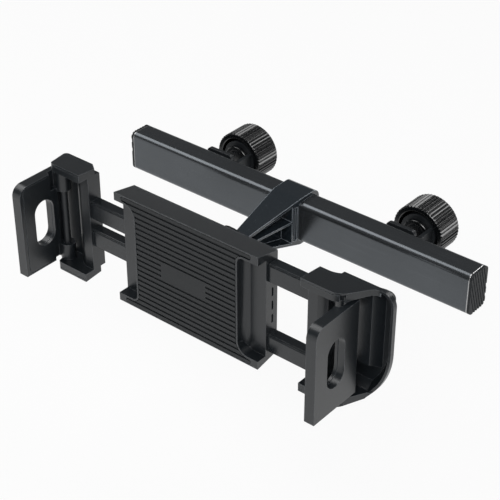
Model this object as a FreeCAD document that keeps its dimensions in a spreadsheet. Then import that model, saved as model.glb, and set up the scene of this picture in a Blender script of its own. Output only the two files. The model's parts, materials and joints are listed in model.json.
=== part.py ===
import FreeCAD, Part
import math
import os
import Sketcher

# Headrest tablet mount: a crossbar that two clamps hold between the posts of a
# car's headrest, and a holder with two sliding claws on a ball joint in front.
# X runs along the crossbar, -Y is the side of the tablet, +Z is up.
# The origin is midway between the axes of the two posts, at mid height of the bar.

os.makedirs("parts", exist_ok=True)
doc = FreeCAD.newDocument("HeadrestTabletMount")

# Driving sizes in millimetres
SIZES = {
    "bar_length": 270.0,
    "bar_height": 28.2,
    "bar_depth": 17.6,
    "bar_corner": 3.6,
    "bar_wall": 2.0,
    "bar_slot": 8.4,
    "cap_lip": 1.7,
    "cap_plug": 12.0,
    "hatch_count": 8,
    "hatch_pitch": 2.4,
    "hatch_width": 1.0,
    "hatch_depth": 0.4,
    "hatch_lean": 5.2,
    "cut_margin": 1.0,
    "fit_gap": 0.05,
    "slide_gap": 0.15,
    "seat_gap": 0.3,
    "post_span": 144.6,
    "post_radius": 7.0,
    "post_reach": 19.6,
    "holder_shift": -1.8,
    "holder_rise": 2.2,
    "sleeve_width": 21.5,
    "sleeve_wall": 2.6,
    "arm_root": 7.0,
    "arm_reach": 56.0,
    "neck_width": 9.0,
    "neck_height": 10.9,
    "arm_flange": 2.0,
    "arm_web": 2.4,
    "arm_rib": 1.4,
    "arm_wall": 2.9,
    "arm_edge": 1.3,
    "arm_end": 6.0,
    "ball_stand": 12.0,
    "ball_setback": 35.6,
    "ball_radius": 8.5,
    "stud_radius": 3.5,
    "stud_seat": 5.5,
    "liner_wall": 1.45,
    "liner_split": 1.6,
    "liner_top": 5.5,
    "socket_wall": 2.95,
    "socket_mouth_height": 3.0,
    "nut_wall": 3.0,
    "nut_skirt_length": 4.0,
    "nut_top_height": 8.5,
    "nut_mouth_radius": 8.0,
    "nut_bevel": 1.4,
    "nut_flutes": 16,
    "body_width": 110.8,
    "body_height": 78.0,
    "body_depth": 17.6,
    "body_taper": 3.3,
    "claw_taper": 1.7,
    "shell_wall": 1.6,
    "back_plate": 1.2,
    "front_wall": 1.8,
    "recess_width": 15.3,
    "recess_depth": 7.3,
    "recess_floor": 1.5,
    "ledge_height": 5.6,
    "recess_round": 4.0,
    "recess_sweep": 8.0,
    "recess_bend": 4.4,
    "pad_thick": 1.6,
    "pad_lip": 1.2,
    "pad_margin": 0.8,
    "pad_end": 5.4,
    "pad_gap": 0.35,
    "pad_round": 1.5,
    "groove_edge": 3.15,
    "groove_width": 1.35,
    "groove_depth": 0.9,
    "groove_rows": 20,
    "patch_left": 19.0,
    "patch_right": 16.0,
    "vent_height": 6.0,
    "vent_width": 1.5,
    "vent_pitch": 9.35,
    "vent_setback": 13.2,
    "rail_depth": 7.0,
    "rail_setback": 9.1,
    "rail_margin": 8.3,
    "rail_gap": 2.3,
    "rail_clear": 0.9,
    "rail_inside": 50.0,
    "rail_seat": 8.0,
    "rail_bevel": 0.8,
    "rail_line": 0.5,
    "arm_opening": 29.6,
    "gear_radius": 5.0,
    "gear_teeth": 10,
    "gear_width": 3.2,
    "rack_depth": 3.5,
    "rack_length": 58.0,
    "rack_spaces": 18,
    "rack_first": 6,
    "rack_tooth": 1.2,
    "tooth_top": 1.0,
    "tooth_root": 1.25,
    "gear_top": 0.9,
    "gear_foot_width": 1.4,
    "gear_tip_width": 0.4,
    "axle_radius": 1.0,
    "screw_near": 22.0,
    "screw_far": 46.0,
    "screw_radius": 1.25,
    "screw_head": 2.4,
    "screw_length": 7.5,
    "boss_radius": 3.1,
    "block_width": 12.0,
    "claw_front": 24.6,
    "claw_round": 2.5,
    "claw_wall": 2.0,
    "claw_clip_width": 5.4,
    "claw_clip_length": 4.0,
    "cap_plate": 1.3,
    "cap_line_height": 0.4,
    "cap_line_depth": 0.45,
    "pin_offset": 23.4,
    "pin_setback": 8.3,
    "pin_radius": 2.3,
    "barrel_radius": 4.9,
    "barrel_upper": 15.5,
    "barrel_lower": 11.0,
    "hinge_relief": 4.6,
    "flap_reach": 34.7,
    "flap_tail": 3.3,
    "flap_inset": 1.3,
    "flap_thick": 6.8,
    "flap_gap": 1.7,
    "flap_offset": 0.5,
    "flap_round": 7.0,
    "flap_slot_width": 15.6,
    "flap_slot_height": 32.2,
    "flap_slot_reach": 16.2,
    "flap_slot_rise": 0.7,
    "slot_line_place": 1.9,
    "slot_line_width": 0.5,
    "slot_line_depth": 0.4,
    "flap_line_front": 2.4,
    "flap_line_edge": 0.8,
    "flap_line_round": 3.0,
    "flap_line_width": 0.5,
    "flap_line_depth": 0.6,
    "step_front": 9.8,
    "step_back": 4.0,
    "step_depth": 3.0,
    "step_lean": 1.2,
    "step_upper": 13.7,
    "step_lower": 11.3,
    "hood_start": 20.0,
    "hood_round": 9.5,
    "hood_foot": 6.0,
    "wave_start": 6.0,
    "wave_width": 14.5,
    "notch_across": 3.0,
    "notch_ahead": 5.3,
    "notch_radius": 1.7,
    "pull_setback": 22.6,
    "pull_rim": 1.6,
    "pull_depth": 3.0,
    "pull_corner": 8.5,
    "pull_sweep": 49.5,
    "pull_low": 3.0,
    "pull_dish": 4.0,
    "dish_depth": 7.5,
    "dish_upper": 34.5,
    "dish_lower": 16.0,
    "dish_shelf": 15.5,
    "plate_width": 20.7,
    "plate_height": 28.4,
    "plate_thick": 2.6,
    "plate_gap": 0.5,
    "plate_corner": 3.0,
    "tongue_width": 20.0,
    "tongue_height": 20.0,
    "tongue_thick": 3.0,
    "hook_web": 2.8,
    "hook_web_height": 13.6,
    "hook_boss": 12.4,
    "hook_boss_thick": 5.0,
    "hook_throat": 17.0,
    "pad_width": 15.0,
    "pad_height": 22.0,
    "pad_base": 0.7,
    "pad_rise": 3.5,
    "bolt_radius": 2.0,
    "bolt_head": 3.6,
    "bolt_end_gap": 0.5,
    "shoe_radius": 9.5,
    "shoe_thick": 2.6,
    "shoe_ring": 7.0,
    "shoe_ring_width": 1.0,
    "shoe_step": 0.6,
    "shoe_bevel": 0.5,
    "shoe_floor": 1.0,
    "screw_thread": 4.0,
    "screw_tip_radius": 3.0,
    "screw_tip_gap": 0.2,
    "screw_bevel": 0.5,
    "knob_radius": 18.1,
    "knob_bore": 14.4,
    "knob_lead": 2.4,
    "knob_length": 20.4,
    "knob_floor": 3.0,
    "knob_bevel": 1.4,
    "knob_skin": 1.0,
    "knob_hub_wall": 3.0,
    "knob_hub_height": 0.6,
    "knob_mouth_bevel": 0.6,
    "knob_rim_bevel": 0.8,
    "knob_flutes": 48,
    "flute_depth": 0.8,
    "flute_width": 1.7,
}

# Angles in degrees: a rack tooth's flank, and the outer sides of the two claws
FLANK_ANGLE = 20.0
SIDE_ANGLE = 76.3
HOOD_ANGLE = 62.0

sheet = doc.addObject("Spreadsheet::Sheet", "Sizes")
for row, (alias, value) in enumerate(SIZES.items(), start=1):
    sheet.set("A%d" % row, alias)
    sheet.set("B%d" % row, str(value))
    sheet.setAlias("B%d" % row, alias)
doc.recompute()


class Term:
    """A length worked out from the sheet: its number and its formula."""

    def __init__(self, number, formula):
        self.number = float(number)
        self.formula = formula

    def join(self, other, sign, number):
        return Term(number, "(%s %s %s)" % (self.formula, sign, term(other).formula))

    def __add__(self, other):
        return self.join(other, "+", self.number + term(other).number)

    def __sub__(self, other):
        return self.join(other, "-", self.number - term(other).number)

    def __mul__(self, other):
        return self.join(other, "*", self.number * term(other).number)

    def __truediv__(self, other):
        return self.join(other, "/", self.number / term(other).number)

    def __radd__(self, other):
        return term(other) + self

    def __rsub__(self, other):
        return term(other) - self

    def __rmul__(self, other):
        return term(other) * self

    def __neg__(self):
        return Term(-self.number, "(0 - %s)" % self.formula)

    def root(self):
        return Term(math.sqrt(self.number), "sqrt(%s)" % self.formula)


def term(value):
    if isinstance(value, Term):
        return value
    return Term(value, "(%r)" % float(value))


class Named:
    """The sheet's cells, as attributes."""

    def __getattr__(self, alias):
        return Term(SIZES[alias], "Sizes.%s" % alias)


S = Named()
ZERO = term(0.0)


def side_of_circle(radius, reach):
    """Half chord of a circle at a distance from its centre."""
    return (radius * radius - reach * reach).root()


def heading(degrees):
    """Run across and along of a line at an angle to X."""
    angle = math.radians(degrees)
    return math.cos(angle), math.sin(angle)


def corner_cut(radius, degrees):
    """Length that a rounded corner takes from each of its two edges."""
    return radius * math.tan(math.radians(degrees) / 2)


# Outlines are lists of points (x, y), or (x, y, radius, turn) where an arc leads
# to the next point: turn is 1 to the left and -1 to the right.

def box(left, right, low, high):
    return [(left, low), (right, low), (right, high), (left, high)]


def rounded(left, right, low, high, radius):
    return [(left + radius, low), (right - radius, low, radius, 1),
            (right, low + radius), (right, high - radius, radius, 1),
            (right - radius, high), (left + radius, high, radius, 1),
            (left, high - radius), (left, low + radius, radius, 1)]


def pill(across, up, width, height):
    """A slot with round ends, standing upright."""
    half = width / 2
    rise = (height - width) / 2
    return [(across + half, up - rise), (across + half, up + rise, half, 1),
            (across - half, up + rise), (across - half, up - rise, half, 1)]


def mirrored(outline, side):
    """The same outline on the other side of the middle when side is -1."""
    if side == 1:
        return outline
    turned = []
    for point in outline:
        across = -term(point[0])
        if len(point) == 2:
            turned.append((across, point[1]))
        else:
            turned.append((across, point[1], point[2], -point[3]))
    return turned


def span(side, near, far):
    """Two distances from the middle as a low and a high place on one side."""
    if side == 1:
        return near, far
    return -term(far), -term(near)


def arc_curve(start, end, radius, turn):
    """The shorter arc from start to end, and whether it is stored backwards."""
    middle = (start + end) * 0.5
    chord = end - start
    rise = math.sqrt(max(radius * radius - chord.Length * chord.Length / 4.0, 0.0))
    normal = FreeCAD.Vector(-chord.y, chord.x, 0).normalize()
    centre = middle + normal * (rise * turn)
    first = math.atan2(start.y - centre.y, start.x - centre.x)
    last = math.atan2(end.y - centre.y, end.x - centre.x)
    if turn < 0:
        first, last = last, first
    if last < first:
        last += 2 * math.pi
    circle = Part.Circle(centre, FreeCAD.Vector(0, 0, 1), radius)
    return Part.ArcOfCircle(circle, first, last)


def fix(sketch, geometry, place, across, up):
    """Ties a point of the sketch to its two lengths from the origin."""
    for kind, axis, length in (("DistanceX", -2, term(across)), ("DistanceY", -1, term(up))):
        if length.number == 0.0:
            sketch.addConstraint(Sketcher.Constraint("PointOnObject", geometry, place, axis))
            continue
        bond = Sketcher.Constraint(kind, -1, 1, geometry, place, length.number)
        index = sketch.addConstraint(bond)
        sketch.setExpression("Constraints[%d]" % index, length.formula)


def draw(sketch, outline):
    """Draws one closed outline, or one circle (x, y, radius)."""
    if isinstance(outline, tuple):
        across, up, radius = [term(value) for value in outline]
        centre = FreeCAD.Vector(across.number, up.number, 0)
        circle = Part.Circle(centre, FreeCAD.Vector(0, 0, 1), radius.number)
        geometry = sketch.addGeometry(circle, False)
        fix(sketch, geometry, 3, across, up)
        index = sketch.addConstraint(Sketcher.Constraint("Radius", geometry, radius.number))
        sketch.setExpression("Constraints[%d]" % index, radius.formula)
        return
    spots = [FreeCAD.Vector(term(p[0]).number, term(p[1]).number, 0) for p in outline]
    ends = []
    for order, point in enumerate(outline):
        start = spots[order]
        end = spots[(order + 1) % len(spots)]
        if len(point) == 2:
            geometry = sketch.addGeometry(Part.LineSegment(start, end), False)
            ends.append((geometry, 1, 2))
            continue
        radius = term(point[2])
        turn = point[3]
        curve = arc_curve(start, end, radius.number, turn)
        geometry = sketch.addGeometry(curve, False)
        ends.append((geometry, 1, 2) if turn > 0 else (geometry, 2, 1))
        if (end - start).Length < 2 * radius.number - 1e-6:
            index = sketch.addConstraint(Sketcher.Constraint("Radius", geometry, radius.number))
            sketch.setExpression("Constraints[%d]" % index, radius.formula)
        else:
            sketch.addConstraint(Sketcher.Constraint("PointOnObject", geometry, 3, chord_of(
                sketch, start, end, ends, order, outline)))
    for order, point in enumerate(outline):
        geometry, first, last = ends[order]
        following = ends[(order + 1) % len(ends)]
        bond = Sketcher.Constraint("Coincident", geometry, last, following[0], following[1])
        sketch.addConstraint(bond)
        fix(sketch, geometry, first, point[0], point[1])


def chord_of(sketch, start, end, ends, order, outline):
    """A construction line across a half circle, which carries its centre."""
    line = sketch.addGeometry(Part.LineSegment(start, end), True)
    following = outline[(order + 1) % len(outline)]
    fix(sketch, line, 1, outline[order][0], outline[order][1])
    fix(sketch, line, 2, following[0], following[1])
    return line


ROLES = {"XY": "XY_Plane", "XZ": "XZ_Plane", "YZ": "YZ_Plane"}
pieces = {}
steps = []


class Piece:
    """One sub-part: a body of sketches and features, placed in the whole."""

    def __init__(self, name, across=ZERO, along=ZERO, up=ZERO):
        self.name = name
        self.body = doc.addObject("PartDesign::Body", name)
        self.body.Label = name
        self.count = 0
        pieces[name] = self.body
        places = (("x", term(across)), ("y", term(along) - S.post_reach), ("z", term(up)))
        spot = FreeCAD.Vector(*[length.number for axis, length in places])
        self.body.Placement = FreeCAD.Placement(spot, FreeCAD.Rotation())
        for axis, length in places:
            self.body.setExpression("Placement.Base.%s" % axis, length.formula)

    def label(self, kind):
        self.count += 1
        return "%s_%s_%d" % (self.name, kind, self.count)

    def origin(self, role):
        return [f for f in self.body.Origin.OriginFeatures if f.Role == role][0]

    def sketch(self, plane, offset, outlines):
        sketch = self.body.newObject("Sketcher::SketchObject", self.label("sketch"))
        sketch.AttachmentSupport = [(self.origin(ROLES[plane]), "")]
        sketch.MapMode = "FlatFace"
        offset = term(offset)
        sketch.AttachmentOffset = FreeCAD.Placement(
            FreeCAD.Vector(0, 0, offset.number), FreeCAD.Rotation())
        sketch.setExpression("AttachmentOffset.Base.z", offset.formula)
        for outline in outlines:
            draw(sketch, outline)
        return sketch

    def feature(self, kind, sketch):
        feature = self.body.newObject("PartDesign::" + kind, self.label(kind.lower()))
        feature.Profile = sketch
        return feature

    def pad(self, plane, low, high, *outlines):
        """Material between two heights over a plane."""
        low, high = term(low), term(high)
        sketch = self.sketch(plane, -high if plane == "XZ" else low, outlines)
        pad = self.feature("Pad", sketch)
        pad.Length = high.number - low.number
        pad.setExpression("Length", (high - low).formula)
        steps.append((pad, 1))
        return pad

    def pocket(self, plane, low, high, *outlines):
        """Material taken away between two heights over a plane."""
        low, high = term(low), term(high)
        sketch = self.sketch(plane, -low if plane == "XZ" else high, outlines)
        pocket = self.feature("Pocket", sketch)
        pocket.Length = high.number - low.number
        pocket.setExpression("Length", (high - low).formula)
        steps.append((pocket, -1))
        return pocket

    def revolve(self, outline, kind="Revolution"):
        """An outline in X and Y turned about the line X = 0."""
        sketch = self.sketch("XY", ZERO, [outline])
        turned = self.feature(kind, sketch)
        turned.ReferenceAxis = (sketch, ["V_Axis"])
        turned.Angle = 360.0
        steps.append((turned, 1 if kind == "Revolution" else -1))
        return turned

    def loft(self, plane, first, second, kind="AdditiveLoft"):
        """A skin between two outlines, each given as (height, outline)."""
        sign = -1 if plane == "XZ" else 1
        sketches = [self.sketch(plane, term(height) * sign, [outline])
                    for height, outline in (first, second)]
        loft = self.feature(kind, sketches[0])
        loft.Sections = [sketches[1]]
        steps.append((loft, 1 if kind == "AdditiveLoft" else -1))
        return loft

    def around(self, feature, count, role="Y_Axis"):
        """Copies of a feature round an axis of the body."""
        pattern = self.body.newObject("PartDesign::PolarPattern", self.label("polar"))
        pattern.Originals = [feature]
        pattern.Axis = (self.origin(role), [""])
        pattern.Angle = 360.0
        pattern.Occurrences = int(term(count).number)
        pattern.setExpression("Occurrences", term(count).formula)
        self.body.Tip = pattern
        return pattern

    def along(self, feature, count, length, axis="H_Axis"):
        """Copies of a feature in a row, over a whole length."""
        pattern = self.body.newObject("PartDesign::LinearPattern", self.label("row"))
        pattern.Originals = [feature]
        pattern.Direction = (feature.Profile[0], [axis])
        length = term(length)
        pattern.Length = length.number
        pattern.setExpression("Length", length.formula)
        pattern.Occurrences = int(term(count).number)
        pattern.setExpression("Occurrences", term(count).formula)
        self.body.Tip = pattern
        return pattern


# Places that several pieces share
bar_end = S.bar_length / 2
bar_back = S.bar_depth / 2
bar_top = S.bar_height / 2
tube_end = bar_end - S.cap_lip
body_half = S.body_width / 2
body_top = S.body_height / 2
ball_reach = S.arm_reach + S.ball_stand
body_front = -ball_reach - S.ball_setback
body_back = body_front + S.body_depth
plate_front = body_back - S.back_plate
recess_edge = body_half - S.recess_width
recess_top = body_top - S.ledge_height
recess_back = body_front + S.recess_depth
cap_under = body_top - S.cap_plate
boss_edge = S.boss_radius + S.rail_clear
rail_half = (body_top - S.rail_margin - S.rail_gap - boss_edge) / 4
rail_inner = boss_edge + rail_half
rail_outer = body_top - S.rail_margin - rail_half
rail_front = body_front + S.rail_setback
rail_back = rail_front + S.rail_depth
gear_rise = (rail_outer + rail_inner) / 2
gear_back = rail_front + S.gear_width + S.seat_gap / 2
pin_line = body_front + S.pin_setback
claw_place = body_half + S.arm_opening
plate_near = bar_back + S.plate_gap
plate_far = plate_near + S.plate_thick
boss_near = plate_far + S.hook_throat + S.pad_base
shoe_near = S.post_reach + S.post_radius
knob_near = shoe_near + S.knob_lead
knob_far = knob_near + S.knob_length
seat_radius = S.ball_radius + S.fit_gap
liner_radius = seat_radius + S.liner_wall
cup_radius = liner_radius + S.fit_gap
past = S.cut_margin


def make_crossbar():
    """A rounded box section with a slot along its back for the clamps' runners."""
    bar = Piece("crossbar")
    inner = S.bar_corner - S.bar_wall
    bar.pad("YZ", -tube_end, tube_end,
            rounded(-bar_back, bar_back, -bar_top, bar_top, S.bar_corner),
            rounded(-bar_back + S.bar_wall, bar_back - S.bar_wall,
                    -bar_top + S.bar_wall, bar_top - S.bar_wall, inner))
    bar.pocket("YZ", -bar_end, bar_end,
               box(bar_back - S.bar_wall - past, bar_back + past,
                   -S.bar_slot / 2, S.bar_slot / 2))


def make_end_cap(name, side):
    """A plug with a lip that carries on the bar's outline and a hatched face."""
    cap = Piece(name)
    cap.pad("YZ", *span(side, tube_end, bar_end),
            rounded(-bar_back, bar_back, -bar_top, bar_top, S.bar_corner))
    inset = S.bar_wall + S.fit_gap
    cap.pad("YZ", *span(side, tube_end - S.cap_plug, tube_end),
            rounded(-bar_back + inset, bar_back - inset, -bar_top + inset,
                    bar_top - inset, S.bar_corner - S.bar_wall))
    reach = bar_top + S.hatch_width
    start = -bar_back - S.hatch_lean
    strip = [(start + S.hatch_lean * 2, -reach), (start + S.hatch_lean * 2 + S.hatch_width, -reach),
             (start + S.hatch_width, reach), (start, reach)]
    low, high = span(side, bar_end - S.hatch_depth, bar_end + past)
    hatch = cap.pocket("YZ", low, high, strip)
    cap.along(hatch, S.hatch_count, S.hatch_pitch * (S.hatch_count - 1))


def arm_top(reach, rise, neck):
    """Height of the arm's sloping edge at a distance in front of the bar."""
    share = (reach - S.arm_root) / (S.arm_reach - S.arm_root)
    return rise + (neck - rise) * share


def make_arm_bracket():
    """A sleeve round the bar that runs out into a tapered arm with open, ribbed sides."""
    arm = Piece("arm_bracket", S.holder_shift)
    wide = S.sleeve_width / 2
    wall = S.slide_gap + S.sleeve_wall
    deep = bar_back + wall
    tall = bar_top + wall
    corner = S.bar_corner + wall
    root = -S.arm_root
    arm.pad("YZ", -wide, wide,
            [(root, -tall), (deep - corner, -tall, corner, 1), (deep, corner - tall),
             (deep, tall - corner, corner, 1), (deep - corner, tall), (root, tall)])
    neck_low = S.holder_rise - S.neck_height / 2
    neck_high = S.holder_rise + S.neck_height / 2
    neck = S.neck_width / 2
    arm.loft("XZ", (root, box(-wide, wide, -tall, tall)),
             (-S.arm_reach, box(-neck, neck, neck_low, neck_high)))
    hole = S.slide_gap
    arm.pocket("YZ", -wide - past, wide + past,
               rounded(-bar_back - hole, bar_back + hole, -bar_top - hole,
                       bar_top + hole, S.bar_corner + hole))
    near = bar_back + S.arm_wall + S.slide_gap + S.sleeve_wall
    far = S.arm_reach - S.arm_end
    rib_high = S.holder_rise + S.arm_rib / 2
    rib_low = S.holder_rise - S.arm_rib / 2
    upper = [(-far, rib_high), (-near, rib_high),
             (-near, arm_top(near, tall, neck_high) - S.arm_flange),
             (-far, arm_top(far, tall, neck_high) - S.arm_flange)]
    lower = [(-far, arm_top(far, -tall, neck_low) + S.arm_flange),
             (-near, arm_top(near, -tall, neck_low) + S.arm_flange),
             (-near, rib_low), (-far, rib_low)]
    step_near = bar_back + S.slide_gap + S.arm_edge
    step = box(-near + S.arm_edge, -step_near, -bar_top + S.arm_flange, bar_top - S.arm_flange)
    for side in (1, -1):
        arm.pocket("YZ", *span(side, S.arm_web / 2, wide + past), upper, lower)
        arm.pocket("YZ", *span(side, wide - S.arm_flange, wide + past), step)
    arm.pocket("XZ", -S.arm_reach - past, -S.arm_reach + S.stud_seat,
               (ZERO, S.holder_rise, S.stud_radius + S.fit_gap))


def make_ball_stud():
    """A ball on a shaft that is set in the arm's end."""
    stud = Piece("ball_stud", S.holder_shift, -ball_reach, S.holder_rise)
    neck = side_of_circle(S.ball_radius, S.stud_radius)
    top = S.ball_stand + S.stud_seat
    stud.revolve([(ZERO, -S.ball_radius, S.ball_radius, 1), (S.stud_radius, neck),
                  (S.stud_radius, top), (ZERO, top)])


def make_liners():
    """Two friction shells round the ball, with a gap between their rims."""
    split = S.liner_split
    front = Piece("ball_liner_front", S.holder_shift, -ball_reach, S.holder_rise)
    front.revolve([(ZERO, -liner_radius, liner_radius, 1),
                   (side_of_circle(liner_radius, split), -split),
                   (side_of_circle(seat_radius, split), -split, seat_radius, -1),
                   (ZERO, -seat_radius)])
    rear = Piece("ball_liner_rear", S.holder_shift, -ball_reach, S.holder_rise)
    top = S.liner_top
    rear.revolve([(side_of_circle(liner_radius, split), split, liner_radius, 1),
                  (side_of_circle(liner_radius, top), top),
                  (side_of_circle(seat_radius, top), top, seat_radius, -1),
                  (side_of_circle(seat_radius, split), split)])


def make_lock_nut():
    """A ring nut whose inner lip is a part of the ball's seat."""
    nut = Piece("lock_nut", S.holder_shift, -ball_reach, S.holder_rise)
    bore = cup_radius + S.socket_wall + S.fit_gap
    outer = bore + S.nut_wall
    mouth, top, skirt = S.nut_mouth_radius, S.nut_top_height, -S.nut_skirt_length
    lip = side_of_circle(cup_radius, mouth)
    rim = S.socket_mouth_height
    nut.revolve([(bore, skirt), (outer, skirt), (outer, top - S.nut_bevel),
                 (outer - S.nut_bevel, top), (mouth, top), (mouth, lip, cup_radius, -1),
                 (side_of_circle(cup_radius, rim), rim), (bore, rim)])
    flute = nut.pocket("XZ", skirt - past, top + past,
                       (outer + S.flute_width / 2, ZERO, S.flute_width))
    nut.around(flute, S.nut_flutes)


def body_rise(along):
    """Half height of the holder at a place along Y: it narrows towards the back."""
    return body_top - S.body_taper * (along - body_front) / S.body_depth


def make_rear_housing():
    """The holder's back plate with the cup of the ball joint."""
    shell = Piece("rear_housing", S.holder_shift, ZERO, S.holder_rise)
    low = body_rise(plate_front)
    high = body_rise(body_back)
    shell.pad("YZ", -body_half, body_half,
              [(plate_front, -low), (body_back, -high), (body_back, high), (plate_front, low)])
    centre = -ball_reach
    outer = cup_radius + S.socket_wall
    rim = centre + S.socket_mouth_height
    shell.revolve([(ZERO, plate_front), (outer, plate_front), (outer, rim),
                   (cup_radius, rim), (cup_radius, centre, cup_radius, -1),
                   (ZERO, centre - cup_radius)])
    hole = S.screw_radius + S.slide_gap
    shell.pocket("XZ", plate_front - past, body_back + past,
                 *[(term(place) * side, ZERO, hole)
                   for place in (S.screw_near, S.screw_far) for side in (1, -1)])


def recess_outline(side):
    """The end recess, with one small and one large corner; the ends are turned copies."""
    far = body_half + past
    upper, lower = S.recess_round, S.recess_sweep
    outline = [(far, -recess_top), (far, recess_top), (recess_edge + upper, recess_top, upper, 1),
               (recess_edge, recess_top - upper), (recess_edge, lower - recess_top, lower, 1),
               (recess_edge + lower, -recess_top)]
    if side == 1:
        return outline
    turned = []
    for point in outline:
        turned.append((-term(point[0]), -term(point[1])) + tuple(point[2:]))
    return turned


def pad_outline(shrink):
    """The rubber sheet's H shape, drawn in by a small gap all round."""
    tip = S.pad_round - shrink
    end = body_half - S.pad_end - shrink
    waist = recess_edge - S.pad_lip - shrink
    top = body_top - S.pad_margin - shrink
    inner = recess_top + S.pad_lip + shrink
    upper = S.recess_round + S.pad_lip + shrink
    lower = S.recess_sweep + S.pad_lip + shrink
    half = [(end - tip, -top, tip, 1), (end, tip - top), (end, -inner - tip, tip, 1),
            (end - tip, -inner), (waist + lower, -inner, lower, -1),
            (waist, lower - inner), (waist, inner - upper, upper, -1),
            (waist + upper, inner), (end - tip, inner, tip, 1), (end, inner + tip),
            (end, top - tip, tip, 1), (end - tip, top)]
    other = [(-term(point[0]), -term(point[1])) + tuple(point[2:]) for point in half]
    return half + other


def make_front_housing():
    """The holder's front shell: end recesses, a seat for the rubber, slots for the rails."""
    shell = Piece("front_housing", S.holder_shift, ZERO, S.holder_rise)
    back = body_rise(plate_front)
    shell.pad("YZ", -body_half, body_half,
              [(body_front, -body_top), (plate_front, -back), (plate_front, back),
               (body_front, body_top)])
    inside = back - S.shell_wall
    wide = body_half - S.shell_wall
    chamber = recess_back + S.recess_floor
    shell.pocket("XZ", chamber, plate_front + past, box(-wide, wide, -inside, inside))
    hollow = recess_edge - S.front_wall
    cavity = body_front + S.pad_thick + S.front_wall
    shell.pocket("XZ", cavity, chamber + past, box(-hollow, hollow, -inside, inside))
    bend, bite = S.recess_bend, S.recess_floor / 2
    foot = [(recess_edge - bite, recess_back + bite), (recess_edge + bend, recess_back + bite),
            (recess_edge + bend, recess_back, bend, 1), (recess_edge, recess_back - bend),
            (recess_edge - bite, recess_back - bend)]
    for side in (1, -1):
        shell.pocket("XZ", body_front - past, recess_back, recess_outline(side))
        shell.pad("XY", -recess_top, recess_top, mirrored(foot, side))
    shell.pocket("XZ", body_front - past, body_front + S.pad_thick, pad_outline(ZERO))
    slot = rail_half + S.slide_gap
    start = rail_front - S.slide_gap
    for side, rise in ((1, rail_outer), (-1, rail_inner)):
        shell.pocket("YZ", *span(side, wide - past, body_half + past),
                     box(start, plate_front + past, rise - slot, rise + slot),
                     box(start, plate_front + past, -rise - slot, slot - rise))
    vent = body_front + S.vent_setback
    vents = [box(vent - S.vent_width / 2, vent + S.vent_width / 2,
                 S.vent_pitch * step - S.vent_height / 2,
                 S.vent_pitch * step + S.vent_height / 2) for step in (-1, 0, 1)]
    shell.pocket("YZ", wide - past, body_half + past, *vents)
    near = [(S.screw_near * side, ZERO, S.boss_radius) for side in (1, -1)]
    far = [(S.screw_far * side, ZERO, S.boss_radius) for side in (1, -1)]
    shell.pad("XZ", cavity - S.front_wall / 2, plate_front, *near)
    shell.pad("XZ", chamber - S.recess_floor / 2, plate_front, *far)
    drill = S.screw_radius + S.fit_gap
    shell.pocket("XZ", plate_front - S.screw_length, plate_front + past,
                 *[(place * side, ZERO, drill)
                   for place in (S.screw_near, S.screw_far) for side in (1, -1)])
    shell.pad("XZ", cavity - S.front_wall / 2, rail_front - S.seat_gap,
              (ZERO, gear_rise, S.boss_radius))
    shell.pocket("XZ", cavity + S.slide_gap, rail_front,
                 (ZERO, gear_rise, S.axle_radius + S.fit_gap))


def make_ribbed_pad():
    """A rubber sheet with grooves along it and a bare stretch in three of them."""
    pad = Piece("ribbed_pad", S.holder_shift, ZERO, S.holder_rise)
    pad.pad("XZ", body_front, body_front + S.pad_thick, pad_outline(S.pad_gap))
    wide = S.body_width / 2
    half = S.groove_width / 2
    low = body_front - past
    high = body_front + S.groove_depth
    top = body_top - S.pad_margin - S.groove_edge
    pitch = top * 2 / (S.groove_rows - 1)

    def stripe(left, right, rise):
        return box(left, right, rise - half, rise + half)

    upper = pad.pocket("XZ", low, high, stripe(-wide, wide, pitch * 1.5))
    pad.along(upper, S.groove_rows / 2 - 1, top - pitch * 1.5, "V_Axis")
    lower = pad.pocket("XZ", low, high, stripe(-wide, wide, -top))
    pad.along(lower, S.groove_rows / 2 - 2, top - pitch * 2.5, "V_Axis")
    for step in (0.5, -0.5, -1.5):
        rise = pitch * step
        pad.pocket("XZ", low, high, stripe(-wide, -S.patch_left, rise),
                   stripe(S.patch_right, wide, rise))


def make_rail(name, side, rise, racked):
    """A flat bar with a bevel and a fine line along its front; some carry a rack."""
    rail = Piece(name, S.holder_shift, ZERO, S.holder_rise)
    low, high = rise - rail_half, rise + rail_half
    bevel, line = S.rail_bevel, S.rail_line
    under = high - bevel - line
    outline = [(rail_front, low), (rail_back, low), (rail_back, high), (rail_front + bevel, high),
               (rail_front, high - bevel), (rail_front + line, under - line / 2),
               (rail_front, under - line)]
    inner = S.arm_opening - S.rail_inside
    rail.pad("YZ", *span(side, inner, claw_place + S.rail_seat), outline)
    if not racked:
        return
    up = 1 if side == 1 else -1
    pitch_line = gear_rise + S.gear_radius * up
    tip = pitch_line - S.tooth_top * up
    root = pitch_line + S.tooth_root * up
    edge = rise - (rail_half + past) * up
    outside = tip - past * up
    lean = math.tan(math.radians(FLANK_ANGLE))
    pitch = S.gear_radius * (2 * math.pi) / S.gear_teeth
    half_space = (pitch - S.rack_tooth) / 2
    wide = half_space + S.tooth_top * lean
    slim = half_space - S.tooth_root * lean
    near = (inner - past) * side
    far = (inner + S.rack_length) * side
    back = rail_front + S.rack_depth
    relief = [(near, edge), (far, edge), (far, tip), (near, tip)]
    rail.pocket("XZ", rail_front - past, back, relief)
    start = -pitch * S.rack_first
    space = [(start - wide, outside), (start + wide, outside), (start + wide, tip),
             (start + slim, root), (start - slim, root), (start - wide, tip)]
    if side == -1:
        space = mirrored(space, -1)
    cut = rail.pocket("XZ", rail_front - past, back, space)
    row = rail.along(cut, S.rack_spaces, pitch * (S.rack_spaces - 1), "H_Axis")
    row.Reversed = side == -1


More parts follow.
